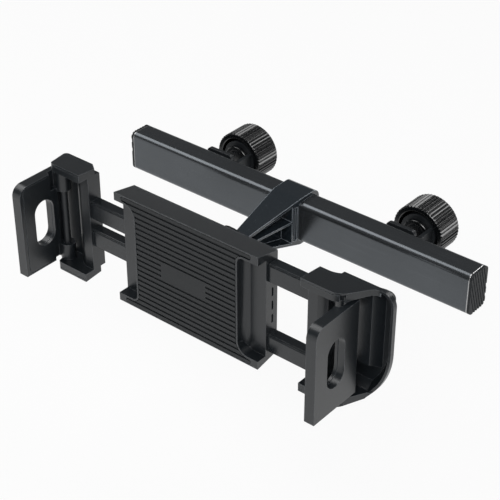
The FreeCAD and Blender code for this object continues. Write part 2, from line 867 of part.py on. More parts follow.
def make_pinion():
    """The gear that runs between the two racks, and its pin."""
    gear = Piece("pinion", S.holder_shift, ZERO, S.holder_rise + gear_rise)
    low = rail_front + S.slide_gap
    root = S.gear_radius - S.tooth_root
    tip = S.gear_radius + S.gear_top
    gear.pad("XZ", low, gear_back, (ZERO, ZERO, root))
    foot = S.gear_foot_width / 2
    head = S.gear_tip_width / 2
    base = root - S.tooth_root / 2
    tooth = gear.pad("XZ", low, gear_back, [(-foot, base), (foot, base), (foot, root),
                                            (head, tip), (-head, tip), (-foot, root)])
    gear.around(tooth, S.gear_teeth)
    gear.pocket("XZ", low - past, gear_back + past, (ZERO, ZERO, S.axle_radius + S.fit_gap))
    axle = Piece("pinion_axle", S.holder_shift, ZERO, S.holder_rise + gear_rise)
    cavity = body_front + S.pad_thick + S.front_wall
    axle.pad("XZ", cavity + S.slide_gap, plate_front, (ZERO, ZERO, S.axle_radius))


def claw_rise(along):
    """Half height of a claw at a place along Y."""
    return body_top - S.claw_taper * (along - body_front) / S.body_depth


def claw_blank(claw, plan, cavity_back, side):
    """The solid of a claw in plan, cut open at the front and behind the hinge."""
    claw.pad("XY", -body_top, body_top, mirrored(plan, side))
    opening = box(-past, body_half, body_front - past, recess_back)
    well = box(S.block_width, body_half, recess_back - past, cavity_back)
    claw.pocket("XY", -recess_top, recess_top, mirrored(opening, side))
    claw.pocket("XY", -recess_top, recess_top, mirrored(well, side))
    edge = S.block_width + past
    scoop = [(S.shell_wall, recess_back - past), (edge, recess_back - past),
             (edge, recess_back + S.recess_depth / 2, S.block_width, -1),
             (S.shell_wall, recess_back)]
    claw.pocket("XY", -recess_top, recess_top, mirrored(scoop, side))


def claw_slopes(claw):
    """The top and the bottom of a claw come closer towards its back."""
    back = body_back + S.body_depth
    for up in (1, -1):
        wedge = [(body_front, body_top * up), (back, claw_rise(back) * up),
                 (back, (body_top + past) * up), (body_front, (body_top + past) * up)]
        claw.pocket("YZ", -body_half, body_half, wedge)


def claw_holes(claw, side, rise):
    """Seats for the two rails and the hinge pin."""
    gap = S.fit_gap
    seats = [box(rail_front - gap, rail_back + gap, place - rail_half - gap,
                 place + rail_half + gap) for place in (rise, -rise)]
    claw.pocket("YZ", *span(side, -past, S.rail_seat), *seats)
    hole = (S.pin_offset * side, pin_line, S.pin_radius + S.fit_gap)
    claw.pocket("XY", -body_top - past, body_top - S.ledge_height / 2, hole)


def cap_line(claw, side, start, radius, degrees):
    """The fine line under a claw's cap plates, along the front and round its corner."""
    across, along = heading(degrees)
    outer, inner = radius + past, radius - S.cap_line_depth
    centre = body_front + radius
    deep = body_front + S.cap_line_depth
    band = [(-past, body_front - past), (start, body_front - past, outer, 1),
            (start + outer * along, centre - outer * across),
            (start + inner * along, centre - inner * across, inner, -1),
            (start, deep), (-past, deep)]
    for low, high in ((cap_under - S.cap_line_height, cap_under),
                      (-cap_under, S.cap_line_height - cap_under)):
        claw.pocket("XY", low, high, mirrored(band, side))


def make_left_claw():
    """The plain claw: a block for the rails, a top and a bottom ledge, a thin back."""
    claw = Piece("claw_left", S.holder_shift - claw_place, ZERO, S.holder_rise)
    across, along = heading(SIDE_ANGLE)
    corner = S.claw_round
    rear = S.claw_front + S.body_depth * (across / along)
    front_cut = corner_cut(corner, SIDE_ANGLE)
    back_cut = corner_cut(corner, 180 - SIDE_ANGLE)
    plan = [(ZERO, body_front), (S.claw_front - front_cut, body_front, corner, 1),
            (S.claw_front + front_cut * across, body_front + front_cut * along),
            (rear - back_cut * across, body_back - back_cut * along, corner, 1),
            (rear - back_cut, body_back), (ZERO, body_back)]
    claw_blank(claw, plan, body_back - S.claw_wall, -1)
    clip = body_back - S.claw_clip_length
    behind = body_back + past
    corner_piece = [(-past, clip), (ZERO, clip), (S.claw_clip_width, body_back),
                    (S.claw_clip_width, behind), (-past, behind)]
    for low, high in ((recess_top, body_top + past), (-body_top - past, -recess_top)):
        claw.pocket("XY", low, high, mirrored(corner_piece, -1))
    claw_slopes(claw)
    claw_holes(claw, -1, rail_inner)
    cap_line(claw, -1, S.claw_front - front_cut, corner, SIDE_ANGLE)


def make_right_claw():
    """The claw with the finger pull: its plates sweep back into a dished D-shaped loop."""
    claw = Piece("claw_right", S.holder_shift + claw_place, ZERO, S.holder_rise)
    back = body_front + S.pull_setback
    rim = back - S.pull_depth
    across, along = heading(HOOD_ANGLE)
    bow, foot = S.hood_round, S.hood_foot
    bow_end = (S.hood_start + bow * along, body_front + bow * (1 - across))
    foot_start = rim - foot * (1 - across)
    foot_near = bow_end[0] + (foot_start - bow_end[1]) * (across / along)
    wing = foot_near + foot * along
    wave, drop = S.wave_width, back - body_back
    bend = (wave * wave + drop * drop) / (drop * 4)
    plan = [(ZERO, body_front), (S.hood_start, body_front, bow, 1), bow_end,
            (foot_near, foot_start, foot, -1), (wing, rim), (wing, back),
            (S.wave_start + wave, back, bend, 1),
            (S.wave_start + wave / 2, back - drop / 2, bend, -1),
            (S.wave_start, body_back), (ZERO, body_back)]
    claw_blank(claw, plan, rim, 1)
    side = wing + S.pull_corner
    top = claw_rise(rim)

    def loop(inset):
        """The right part of the D: a long sweep below and a small corner above."""
        high = top - inset
        sweep = S.pull_sweep - inset
        low_end = side - S.pull_sweep + side_of_circle(sweep, high - S.pull_low)
        corner = S.pull_corner - inset
        return [(low_end, -high, sweep, 1), (side - inset, -S.pull_low),
                (side - inset, high - corner, corner, 1), (wing, high)]

    def dish(inset, shift):
        """The dish's outline: its left side steps out below a shelf."""
        upper, lower = S.dish_upper + shift, S.dish_lower + shift
        shelf = -S.dish_shelf - shift
        return [(lower, inset - top)] + loop(inset) + [(upper, top - inset), (upper, shelf),
                                                       (lower, shelf)]

    left = S.block_width + past
    claw.pad("XZ", rim, back, [(left, -top)] + loop(ZERO) + [(left, top)])
    claw_slopes(claw)
    below = -body_top - past
    sweep = loop(ZERO)[:2]
    claw.pocket("XZ", body_front - past, back + past, sweep + [
        (side + past, -S.pull_low), (side + past, below), (sweep[0][0], below)])
    lip, slope, wall = S.pull_rim, S.pull_dish, S.shell_wall
    floor = rim + S.dish_depth
    claw.loft("XZ", (back, dish(lip / 2, -wall)),
              (floor + wall, dish(lip / 2 + slope, slope - wall)))
    claw.loft("XZ", (rim, dish(lip, ZERO)), (floor, dish(lip + slope, slope)), "SubtractiveLoft")
    claw_holes(claw, 1, rail_outer)
    cap_line(claw, 1, S.hood_start, bow, HOOD_ANGLE)
    notch = (S.pin_offset + S.notch_across, pin_line - S.notch_ahead, S.notch_radius)
    for low, high in ((recess_top - past, cap_under), (-cap_under, past - recess_top)):
        claw.pocket("XY", low, high, notch)


def make_flap(name, side):
    """A jaw plate with a long slot, on two knuckles about its pin."""
    place = S.holder_shift + (claw_place + S.pin_offset) * side
    flap = Piece(name, place, pin_line, S.holder_rise)
    offset = S.flap_offset * side
    high = recess_top - S.flap_gap + offset
    low = S.flap_gap - recess_top + offset
    near, far = S.flap_inset, S.flap_inset + S.flap_thick
    reach = -S.flap_reach
    round_top = S.flap_round
    outline = [(reach, low), (S.flap_tail, low), (S.flap_tail, high),
               (reach + round_top, high, round_top, 1), (reach, high - round_top)]

    def slot(wider):
        return pill(-S.flap_slot_reach, S.flap_slot_rise * side, S.flap_slot_width + wider,
                    S.flap_slot_height + wider)

    flap.pad("YZ", *span(side, near, far), outline, slot(ZERO))
    ring = near + S.slot_line_place
    flap.pocket("YZ", *span(side, ring, ring + S.slot_line_width), slot(S.slot_line_depth * 2))
    flap.pocket("YZ", *span(side, near - past, near + S.flap_line_depth),
                face_line(reach + S.flap_line_front, -S.step_front,
                          low + S.flap_line_edge, high - S.flap_line_edge))
    upper = recess_top - S.seat_gap
    deep = near + S.step_depth
    step = [(near - past, -S.step_front), (near, -S.step_front),
            (deep, S.step_lean - S.step_front), (deep, -S.step_back),
            (near - past, -S.step_back)]
    flap.pocket("XY", upper - S.step_upper, high + past, mirrored(step, side))
    flap.pocket("XY", low - past, S.step_lower - upper, mirrored(step, side))
    spans = ((upper - S.barrel_upper, upper), (-upper, S.barrel_lower - upper))
    for foot, head in spans:
        flap.pad("XY", foot, head, (ZERO, ZERO, S.barrel_radius))
    flap.pocket("XY", spans[1][1], spans[0][0], (ZERO, ZERO, S.hinge_relief))
    flap.pocket("XY", -body_top, body_top, (ZERO, ZERO, S.pin_radius + S.fit_gap))


def face_line(front, back, low, high):
    """A fine line in the shape of a U, open at the back."""
    outer, wide = S.flap_line_round, S.flap_line_width
    inner = outer - wide
    bend = front + outer
    return [(back, high), (bend, high, outer, 1), (front, high - outer),
            (front, low + outer, outer, 1), (bend, low), (back, low), (back, low + wide),
            (bend, low + wide, inner, -1), (front + wide, low + outer),
            (front + wide, high - outer, inner, -1), (bend, high - wide), (back, high - wide)]


def make_hinge_pin(name, side):
    """A plain pin through the claw's ledges and the flap's knuckles."""
    place = S.holder_shift + (claw_place + S.pin_offset) * side
    pin = Piece(name, place, pin_line, S.holder_rise)
    low = S.seat_gap - claw_rise(pin_line)
    pin.pad("XY", low, body_top - S.ledge_height / 2 - S.slide_gap, (ZERO, ZERO, S.pin_radius))


def make_clamp(name, side):
    """One post clamp: runner, hook, bolt, rubber, shoe, screw and knob."""
    place = S.post_span / 2 * side
    near, far = plate_near, plate_far

    slider = Piece("clamp_slider_" + name, place)
    inside = bar_back - S.bar_wall - S.slide_gap
    neck = S.bar_slot / 2 - S.slide_gap
    half = S.tongue_width / 2
    tall = S.tongue_height / 2
    slider.pad("YZ", -half, half,
               [(inside - S.tongue_thick, -tall), (inside, -tall), (inside, -neck), (near, -neck),
                (near, neck), (inside, neck), (inside, tall), (inside - S.tongue_thick, tall)])
    bolt_gap = S.bolt_radius + S.fit_gap
    end = inside - S.tongue_thick + S.bolt_end_gap
    slider.pocket("XZ", end, near + past, (ZERO, ZERO, bolt_gap))

    hook = Piece("clamp_hook_" + name, place)
    wide = S.plate_width / 2
    high = S.plate_height / 2
    hook.pad("XZ", near, far, rounded(-wide, wide, -high, high, S.plate_corner))
    web_high = S.hook_web_height / 2
    web_out = side_of_circle(S.hook_boss, web_high) + S.hook_web / 4
    boss_far = boss_near + S.hook_boss_thick
    hook.pad("XZ", far - S.plate_thick / 2, boss_far,
             box(web_out - S.hook_web, web_out, -web_high, web_high))
    hook.pad("XZ", boss_near, boss_far, (ZERO, ZERO, S.hook_boss))
    hook.pocket("XZ", boss_near - past, boss_far + past,
                (ZERO, ZERO, S.screw_thread + S.fit_gap))
    head_gap = S.bolt_head + S.fit_gap
    cone = far - (S.bolt_head - S.bolt_radius)
    hook.revolve([(ZERO, near - past), (bolt_gap, near - past), (bolt_gap, cone),
                  (head_gap, far), (head_gap, far + past), (ZERO, far + past)], "Groove")

    bolt = Piece("clamp_bolt_" + name, place)
    bolt.revolve([(ZERO, end), (S.bolt_radius, end), (S.bolt_radius, cone),
                  (S.bolt_head, far), (ZERO, far)])

    rubber = Piece("post_pad_" + name, place)
    across = S.pad_width / 2
    post = S.post_radius
    top = far + S.pad_base + S.pad_rise
    drop = S.post_reach - top
    edge = side_of_circle(post, drop)
    rubber.pad("XY", -S.pad_height / 2, S.pad_height / 2,
               [(-across, far), (across, far), (across, top), (edge, top, post, -1),
                (-edge, top), (-across, top)])

    shoe = Piece("pressure_shoe_" + name, place)
    face = shoe_near + S.fit_gap
    rear = face + S.shoe_thick
    tip = S.screw_tip_radius
    cup = tip + S.fit_gap
    floor = face + S.shoe_floor
    ring, step, bevel = S.shoe_ring, face + S.shoe_step, S.shoe_bevel
    inner = ring - S.shoe_ring_width
    shoe.revolve([(ZERO, face), (inner, face), (inner, step), (ring, step), (ring, face),
                  (S.shoe_radius - bevel, face), (S.shoe_radius, face + bevel),
                  (S.shoe_radius, rear), (cup, rear), (cup, floor), (ZERO, floor)])
    beyond = S.shoe_radius + past
    shoe.pocket("XZ", face - past, rear + past,
                box(web_out - S.hook_web - S.seat_gap, beyond, -beyond, beyond))

    screw = Piece("clamp_screw_" + name, place)
    start = floor + S.slide_gap
    shoulder = rear + S.screw_tip_gap
    skin = knob_far - S.knob_skin
    screw.revolve([(ZERO, start), (tip, start), (tip, shoulder),
                   (S.screw_thread, shoulder + S.screw_bevel), (S.screw_thread, skin), (ZERO, skin)])

    knob = Piece("knob_" + name, place)
    outer, bore, lip = S.knob_radius, S.knob_bore, S.knob_bevel
    mouth, rim = S.knob_mouth_bevel, S.knob_rim_bevel
    floor = knob_far - S.knob_floor
    hub = S.screw_thread + S.knob_hub_wall
    hub_end = floor - S.knob_hub_height
    hole = S.screw_thread + S.fit_gap
    knob.revolve([(hole, hub_end), (hub, hub_end), (hub, floor), (bore - lip, floor),
                  (bore, floor - lip), (bore, knob_near + mouth), (bore + mouth, knob_near),
                  (outer - rim, knob_near), (outer, knob_near + rim), (outer, knob_far - lip),
                  (outer - lip, knob_far), (ZERO, knob_far), (ZERO, skin), (hole, skin)])
    cut = S.flute_width / 2
    base = outer - S.flute_depth
    flute = knob.pocket("XZ", knob_near - past, knob_far + past,
                        [(-cut, outer + past), (-cut, outer), (ZERO, base), (cut, outer),
                         (cut, outer + past)])
    knob.around(flute, S.knob_flutes)


def make_housing_screws():
    """Four countersunk screws through the holder's back, as one group."""
    solids = []
    for order, place in enumerate((S.screw_near, -S.screw_near, S.screw_far, -S.screw_far)):
        shank = doc.addObject("Part::Cylinder", "screw_shank_%d" % order)
        head = doc.addObject("Part::Cylinder", "screw_head_%d" % order)
        rear = body_back - S.post_reach
        parts = ((shank, S.screw_radius, S.screw_length, rear - S.screw_length),
                 (head, S.screw_head, S.screw_radius, rear))
        turn = FreeCAD.Rotation(FreeCAD.Vector(1, 0, 0), -90)
        for solid, radius, length, start in parts:
            across = S.holder_shift + place
            spot = FreeCAD.Vector(across.number, start.number, S.holder_rise.number)
            solid.Placement = FreeCAD.Placement(spot, turn)
            solid.setExpression("Radius", radius.formula)
            solid.setExpression("Height", length.formula)
            solid.setExpression("Placement.Base.x", across.formula)
            solid.setExpression("Placement.Base.y", start.formula)
            solid.setExpression("Placement.Base.z", S.holder_rise.formula)
            solids.append(solid)
    group = doc.addObject("Part::MultiFuse", "housing_screws")
    group.Label = "housing_screws"
    group.Shapes = solids
    pieces["housing_screws"] = group


def check_and_write():
    """Stops at any failed step, wrong direction or bad solid, then writes the files."""
    doc.recompute()
    for item in doc.Objects:
        if "Invalid" in item.State or "Error" in item.State:
            raise RuntimeError("failed: %s %s" % (item.Name, item.State))
    for feature, sign in steps:
        base = feature.BaseFeature
        before = base.Shape.Volume if base else 0.0
        if (feature.Shape.Volume - before) * sign <= 1e-6:
            raise RuntimeError("no change in volume: %s" % feature.Name)
    for name, item in pieces.items():
        shape = item.Shape
        if shape.isNull() or not shape.isValid():
            raise RuntimeError("bad shape: %s" % name)
        shape.exportStep("parts/%s.step" % name)


make_crossbar()
make_end_cap("end_cap_left", -1)
make_end_cap("end_cap_right", 1)
make_arm_bracket()
make_ball_stud()
make_liners()
make_lock_nut()
make_rear_housing()
make_front_housing()
make_ribbed_pad()
make_rail("rail_right_upper", 1, rail_outer, True)
make_rail("rail_right_lower", 1, -rail_outer, False)
make_rail("rail_left_upper", -1, rail_inner, True)
make_rail("rail_left_lower", -1, -rail_inner, False)
make_pinion()
make_left_claw()
make_right_claw()
make_flap("flap_left", -1)
make_flap("flap_right", 1)
make_hinge_pin("hinge_pin_left", -1)
make_hinge_pin("hinge_pin_right", 1)
make_clamp("left", -1)
make_clamp("right", 1)
make_housing_screws()
check_and_write()
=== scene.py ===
import json
import math

import bmesh
import bpy
import numpy as np
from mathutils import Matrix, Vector


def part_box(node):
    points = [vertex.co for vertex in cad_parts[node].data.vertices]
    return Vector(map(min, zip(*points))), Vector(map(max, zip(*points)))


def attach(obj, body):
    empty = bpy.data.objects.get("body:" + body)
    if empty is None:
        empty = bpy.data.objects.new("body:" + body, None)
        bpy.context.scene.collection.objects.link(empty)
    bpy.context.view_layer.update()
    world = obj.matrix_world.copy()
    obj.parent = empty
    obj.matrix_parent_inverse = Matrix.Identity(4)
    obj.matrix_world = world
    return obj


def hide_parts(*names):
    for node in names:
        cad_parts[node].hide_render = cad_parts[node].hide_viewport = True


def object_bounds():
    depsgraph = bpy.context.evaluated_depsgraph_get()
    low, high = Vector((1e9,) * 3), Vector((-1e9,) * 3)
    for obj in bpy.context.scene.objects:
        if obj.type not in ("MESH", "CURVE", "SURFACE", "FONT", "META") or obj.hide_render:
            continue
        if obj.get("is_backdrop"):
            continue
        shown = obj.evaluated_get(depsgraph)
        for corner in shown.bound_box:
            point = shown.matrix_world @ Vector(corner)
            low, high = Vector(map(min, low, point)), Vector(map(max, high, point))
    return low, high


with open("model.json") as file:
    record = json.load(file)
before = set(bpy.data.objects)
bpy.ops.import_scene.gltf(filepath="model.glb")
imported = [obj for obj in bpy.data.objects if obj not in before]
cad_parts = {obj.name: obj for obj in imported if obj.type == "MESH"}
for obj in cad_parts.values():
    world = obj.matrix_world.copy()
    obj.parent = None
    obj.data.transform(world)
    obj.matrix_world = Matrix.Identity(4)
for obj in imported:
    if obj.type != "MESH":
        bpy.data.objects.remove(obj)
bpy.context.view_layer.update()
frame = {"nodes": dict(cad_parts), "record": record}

bl_info = {
    "name": "Headrest tablet mount",
    "version": (1, 0, 0),
    "blender": (4, 5, 0),
    "location": "View3D > Sidebar > Mount",
    "description": "Dresses the packed headrest tablet mount and lights it as a product shot",
    "category": "Object",
}

# Every length is in metres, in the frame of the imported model
MM = 0.001
WHITE = (1.0, 1.0, 1.0, 1.0)

# Small roundings: points this near are merged, faces this flat are joined, edges sharper
# than ROUND_ANGLE are rounded and edges sharper than CREASE_ANGLE stay hard on new pieces
WELD_DISTANCE = 0.01 * MM
FLAT_ANGLE = math.radians(0.6)
ROUND_ANGLE = math.radians(28.0)
ROUND_STEPS = 2
FACE_WEIGHT = 80
CREASE_ANGLE = math.radians(32.0)

# Solids with details too small for the common rounding, and the width of their own
FINE_EDGES = {
    "ribbed_pad": 0.12 * MM,
    "end_cap_left": 0.08 * MM,
    "end_cap_right": 0.08 * MM,
    "knob_left": 0.12 * MM,
    "knob_right": 0.12 * MM,
    "lock_nut": 0.2 * MM,
    "pinion": 0.05 * MM,
    "pinion_axle": 0.05 * MM,
}

# The knob's rod: the tip that turns in the shoe is this long and this much thinner than
# the rod, and the cone behind it this long
TIP_LENGTH = 2.0 * MM
TIP_STEP = 1.0 * MM
TIP_CONE = 0.5 * MM

# The thread's mesh has this many rings a turn and points a ring. The V wave is this steep
# and cut off this far, which leaves a narrow flat at its crest and root
RINGS_A_TURN = 12
ROD_POINTS = 48
V_STEEPNESS = 1.4
V_CUT = 0.2

# The head of a housing screw: its rim and its full height, and the mesh's rings and points
HEAD_RIM = 0.12 * MM
HEAD_HEIGHT = 1.3 * MM
HEAD_RINGS = 20
HEAD_POINTS = 96

# The cross recess: half the width and half the length of each bar, with the widths of the
# slopes inside them, and the depth
BAR_HALF_WIDTH = 0.34 * MM
BAR_SLOPE = 0.12 * MM
BAR_REACH = 1.5 * MM
BAR_END_SLOPE = 0.25 * MM
RECESS_DEPTH = 1.0 * MM

# Each lamp's name, place, width, height and share of the power, and the place that all
# lamps point at
LAMPS = (
    ("lamp_above", (-0.85, -0.20, 1.30), 1.2, 1.1, 0.26),
    ("lamp_front", (0.80, -1.30, 1.30), 1.1, 0.8, 0.44),
    ("lamp_right", (1.70, 0.10, 0.70), 0.8, 1.2, 0.05),
    ("lamp_back", (0.50, 1.50, 1.30), 0.9, 0.5, 0.17),
)
LAMP_TARGET = (0.0, -0.06, 0.0)

# The camera's film, in millimetres, and how near and far it sees
FILM_WIDTH = 36.0
NEAREST = 0.01
FARTHEST = 20.0

# The floor: half its width, its colour and roughness, and the share of plain white in what
# the eye sees of it. The rest keeps the object's shadow
FLOOR_REACH = 6.0
FLOOR_COLOUR = (0.82, 0.82, 0.82, 1.0)
FLOOR_ROUGHNESS = 0.9
FLOOR_GLOW = 0.90

# The room is pale below the first height and has its plain level above the second, where
# 0 is the horizon and 1 is straight up
HORIZON_LOW = 0.07
HORIZON_HIGH = 0.17
HORIZON_LEVEL = 0.95


def connect(tree, socket, value):
    """Links a signal to a socket, or sets the socket to a plain value."""
    if isinstance(value, Signal):
        tree.links.new(value.socket, socket)
    else:
        socket.default_value = value


def add_node(tree, kind, inputs=None, **settings):
    """Any node: its settings first, then the values or links of its sockets."""
    made = tree.nodes.new(kind)
    for name, value in settings.items():
        setattr(made, name, value)
    for name, value in (inputs or {}).items():
        connect(tree, made.inputs[name], value)
    return made


class Signal:
    """One shader socket that takes part in sums like a number."""

    def __init__(self, tree, socket):
        self.tree = tree
        self.socket = socket

    def maths(self, operation, *values, clamp=False):
        """A Math node on two values, of which this signal need not be one."""
        made = add_node(self.tree, "ShaderNodeMath", dict(enumerate(values)),
                        operation=operation, use_clamp=clamp)
        return Signal(self.tree, made.outputs[0])

    def __add__(self, other):
        return self.maths("ADD", self, other)

    def __radd__(self, other):
        return self.maths("ADD", other, self)

    def __sub__(self, other):
        return self.maths("SUBTRACT", self, other)

    def __rsub__(self, other):
        return self.maths("SUBTRACT", other, self)

    def __mul__(self, other):
        return self.maths("MULTIPLY", self, other)

    def __rmul__(self, other):
        return self.maths("MULTIPLY", other, self)

    def smaller(self, other):
        """The smaller of two signals."""
        return self.maths("MINIMUM", self, other)

    def clamped(self):
        """Kept between 0 and 1."""
        return self.maths("ADD", self, 0.0, clamp=True)

    def between(self, low, high):
        """0 at low and 1 at high, with soft ends."""
        made = add_node(self.tree, "ShaderNodeMapRange",
                        {"Value": self, "From Min": low, "From Max": high},
                        interpolation_type="SMOOTHSTEP")
        return Signal(self.tree, made.outputs[0])


class Surface:
    """A material being built: coordinates, textures and one Principled shader."""

    def __init__(self, name):
        self.material = bpy.data.materials.new(name)
        self.material.use_nodes = True
        self.tree = self.material.node_tree
        self.shader = self.tree.nodes["Principled BSDF"]
        self.place = self.node("ShaderNodeTexCoord", "Object")

    def node(self, kind, output, inputs=None, **settings):
        """Any node, given as the signal of one of its outputs."""
        made = add_node(self.tree, kind, inputs, **settings)
        return Signal(self.tree, made.outputs[output])

    def noise(self, scale, detail=2.0, roughness=0.5):
        """Noise with so many grains a metre: one number, or one for each axis."""
        place = self.place
        if isinstance(scale, tuple):
            place = self.node("ShaderNodeVectorMath", "Vector", {0: place, 1: scale},
                              operation="MULTIPLY")
            scale = 1.0
        return self.node("ShaderNodeTexNoise", "Fac", {
            "Vector": place, "Scale": scale, "Detail": detail, "Roughness": roughness})

    def cells(self, scale):
        """The distance to the nearest of so many points a metre."""
        return self.node("ShaderNodeTexVoronoi", "Distance",
                         {"Vector": self.place, "Scale": scale})

    def edges(self, radius):
        """1 on outer and inner edges and 0 on flat faces.

        It compares the direction of a face with that of its neighbourhood: they differ by
        under 6 degrees on a flat face and by over 28 degrees on an edge."""
        soft = self.node("ShaderNodeBevel", "Normal", {"Radius": radius}, samples=6)
        flat = self.node("ShaderNodeNewGeometry", "True Normal")
        facing = self.node("ShaderNodeVectorMath", "Value", {0: soft, 1: flat},
                           operation="DOT_PRODUCT")
        return (1.0 - facing).between(0.005, 0.12)

    def blend(self, share, first, second):
        """A colour between two colours, on the Mix node's sockets for colours."""
        return self.node("ShaderNodeMix", 2, {0: share, 6: first, 7: second},
                         data_type="RGBA")

    def bump(self, height, depth, strength):
        """Relief from a height between 0 and 1 and a real depth."""
        return self.node("ShaderNodeBump", "Normal", {
            "Height": height, "Distance": depth, "Strength": strength})

    def finish(self, **inputs):
        """Feeds the shader's sockets, named with _ for a space."""
        for name, value in inputs.items():
            connect(self.tree, self.shader.inputs[name.replace("_", " ")], value)
        return self.material


def shade(level, cool=0.0):
    """A grey, a little cooler as its red falls and its blue rises."""
    return (level * (1 - cool), level, level * (1 + cool), 1.0)


def toned(colour, share):
    """A colour made darker or paler by a factor."""
    return tuple(part * share for part in colour) + (1.0,)


def anodised_bar(colour, left, right):
    """Grey anodised aluminium: fine blasted grain and faint drawing lines along the bar.

    The sawn ends at left and right are chamfered, which bares a thin ring of metal. The ring is
    painted pale both as bare metal and as a painted highlight line on the cut edge."""
    look = Surface("bar_anodised")
    along = look.node("ShaderNodeSeparateXYZ", "X", {0: look.place})
    inward = (along - left).smaller(right - along)
    bare_and_highlight = 1.0 - inward.between(0.5 * MM, 0.8 * MM)
    grain = look.noise(5200.0, detail=3.0, roughness=0.6)
    drawn = look.noise((18.0, 900.0, 900.0), detail=4.0, roughness=0.6)
    cloud = look.noise(26.0, detail=3.0)
    edge = look.edges(0.5 * MM)
    tone = (cloud * 0.35 + drawn * 0.3 + grain * 0.35).between(0.25, 0.75)
    base = look.blend(tone, toned(colour, 1.0), toned(colour, 1.3))
    # Rounded edges painted paler: a painted highlight
    base = look.blend(edge * 0.35, base, shade(0.20, cool=0.06))
    # The chamfer ring: bare metal, and pale as a painted highlight line
    base = look.blend(bare_and_highlight, base, shade(0.40))
    rough = 0.17 + grain * 0.10 + drawn * 0.06 - edge * 0.05
    relief = look.bump(grain * 0.7 + drawn * 0.3, 0.02 * MM, strength=0.6)
    return look.finish(Base_Color=base, Metallic=0.8, Roughness=rough, Normal=relief)


def gloss_arm(colour):
    """Polished plastic with slight moulding waves, a few hairline scuffs, a trace of dust, and
    rims painted pale as a highlight.
    """
    look = Surface("arm_gloss")
    waves = look.noise(60.0)
    dust = look.noise(1500.0, roughness=0.7).between(0.62, 0.78)
    scuff = look.noise((700.0, 60.0, 380.0), detail=5.0, roughness=0.7).between(0.60, 0.72)
    edge = look.edges(0.8 * MM)
    # Paler with a trace of dust, and on the rims as a painted highlight
    pale = (dust * 0.1 + edge).clamped()
    base = look.blend(pale, toned(colour, 1.0), shade(0.34, cool=0.10))
    rough = 0.12 + scuff * 0.14 + dust * 0.12 + waves * 0.05
    relief = look.bump(waves, 0.12 * MM, strength=0.35)
    return look.finish(Base_Color=base, Roughness=rough, Normal=relief, IOR=1.6)


def grained_plastic(name, colour, size, rough, depth, edge_highlight, ior=1.52):
    """Moulded plastic with the fine spark-eroded grain of its tool.

    The grain has a size and a depth, and the edges are painted paler by a given share, as a
    painted highlight."""
    look = Surface(name)
    pits = look.cells(1.0 / size)
    fine = look.noise(1.6 / size, detail=3.0, roughness=0.6)
    cloud = look.noise(30.0, detail=3.0)
    edge = look.edges(0.4 * MM)
    tone = (pits * 0.4 + fine * 0.3 + cloud * 0.3).between(0.2, 0.7)
    base = look.blend(tone, toned(colour, 0.88), toned(colour, 1.12))
    # Edges painted paler: a painted highlight
    base = look.blend(edge * edge_highlight, base, shade(0.15, cool=0.08))
    sheen = rough + fine * 0.10 - edge * 0.10 + cloud * 0.05
    relief = look.bump(pits * 0.6 + fine * 0.4, depth, strength=0.5)
    return look.finish(Base_Color=base, Roughness=sheen, Normal=relief, IOR=ior)


def sliding_rail():
    """Smooth black rail plastic with light drag marks along the way it slides."""
    look = Surface("rail_smooth")
    drag = look.noise((22.0, 1400.0, 1400.0), detail=5.0, roughness=0.7)
    cloud = look.noise(40.0, detail=3.0)
    edge = look.edges(0.35 * MM)
    marks = drag.between(0.56, 0.80)
    pale = (marks * 0.35 + cloud * 0.3).clamped()
    base = look.blend(pale, shade(0.011, cool=0.20), shade(0.018, cool=0.20))
    # Edges painted paler: a painted highlight
    base = look.blend(edge * 0.4, base, shade(0.06, cool=0.10))
    rough = 0.20 + marks * 0.12 + cloud * 0.06
    relief = look.bump(drag, 0.008 * MM, strength=0.3)
    return look.finish(Base_Color=base, Roughness=rough, Normal=relief)


def soft_rubber():
    """Matte black rubber: dull, a trace of dust in the grain, and edges painted paler as a
    highlight.
    """
    look = Surface("rubber_matte")
    grain = look.noise(4200.0, detail=3.0, roughness=0.6)
    cloud = look.noise(55.0, detail=4.0)
    dust = look.noise(2600.0, detail=1.0).between(0.66, 0.8)
    edge = look.edges(0.25 * MM)
    tone = (cloud * 0.5 + grain * 0.3).clamped()
    # Paler with dust in the grain, and on the edges as a painted highlight
    pale = (dust * 0.25 + edge * 0.35).clamped()
    base = look.blend(tone, shade(0.007, cool=0.20), shade(0.011, cool=0.20))
    base = look.blend(pale, base, shade(0.035, cool=0.10))
    rough = 0.52 + grain * 0.16 + cloud * 0.06
    relief = look.bump(grain, 0.03 * MM, strength=0.6)
    return look.finish(Base_Color=base, Roughness=rough, Normal=relief)


def turned_steel():
    """Turned steel: fine rings round an axis along Y, faint stains."""
    look = Surface("steel_turned")
    rings = look.noise((300.0, 5200.0, 300.0), detail=3.0, roughness=0.6)
    stain = look.noise(90.0, detail=4.0).between(0.35, 0.75)
    edge = look.edges(0.2 * MM)
    tone = (rings * 0.5 + stain * 0.4).clamped()
    base = look.blend(tone, shade(0.35), shade(0.55))
    rough = 0.28 + rings * 0.12 + stain * 0.08 - edge * 0.05
    relief = look.bump(rings, 0.02 * MM, strength=0.5)
    return look.finish(Base_Color=base, Metallic=0.95, Roughness=rough, Normal=relief)


def painted_steel():
    """Steel under a thin black coat with a slight orange peel."""
    look = Surface("steel_black")
    peel = look.noise(900.0)
    cloud = look.noise(45.0, detail=3.0)
    edge = look.edges(0.3 * MM)
    tone = (peel * 0.4 + cloud * 0.4).clamped()
    base = look.blend(tone, shade(0.012, cool=0.15), shade(0.020, cool=0.15))
    # Edges painted paler: a painted highlight
    base = look.blend(edge * 0.4, base, shade(0.06, cool=0.10))
    rough = 0.34 + cloud * 0.1 + peel * 0.06
    relief = look.bump(peel, 0.05 * MM, strength=0.35)
    return look.finish(Base_Color=base, Metallic=0.2, Roughness=rough, Normal=relief)


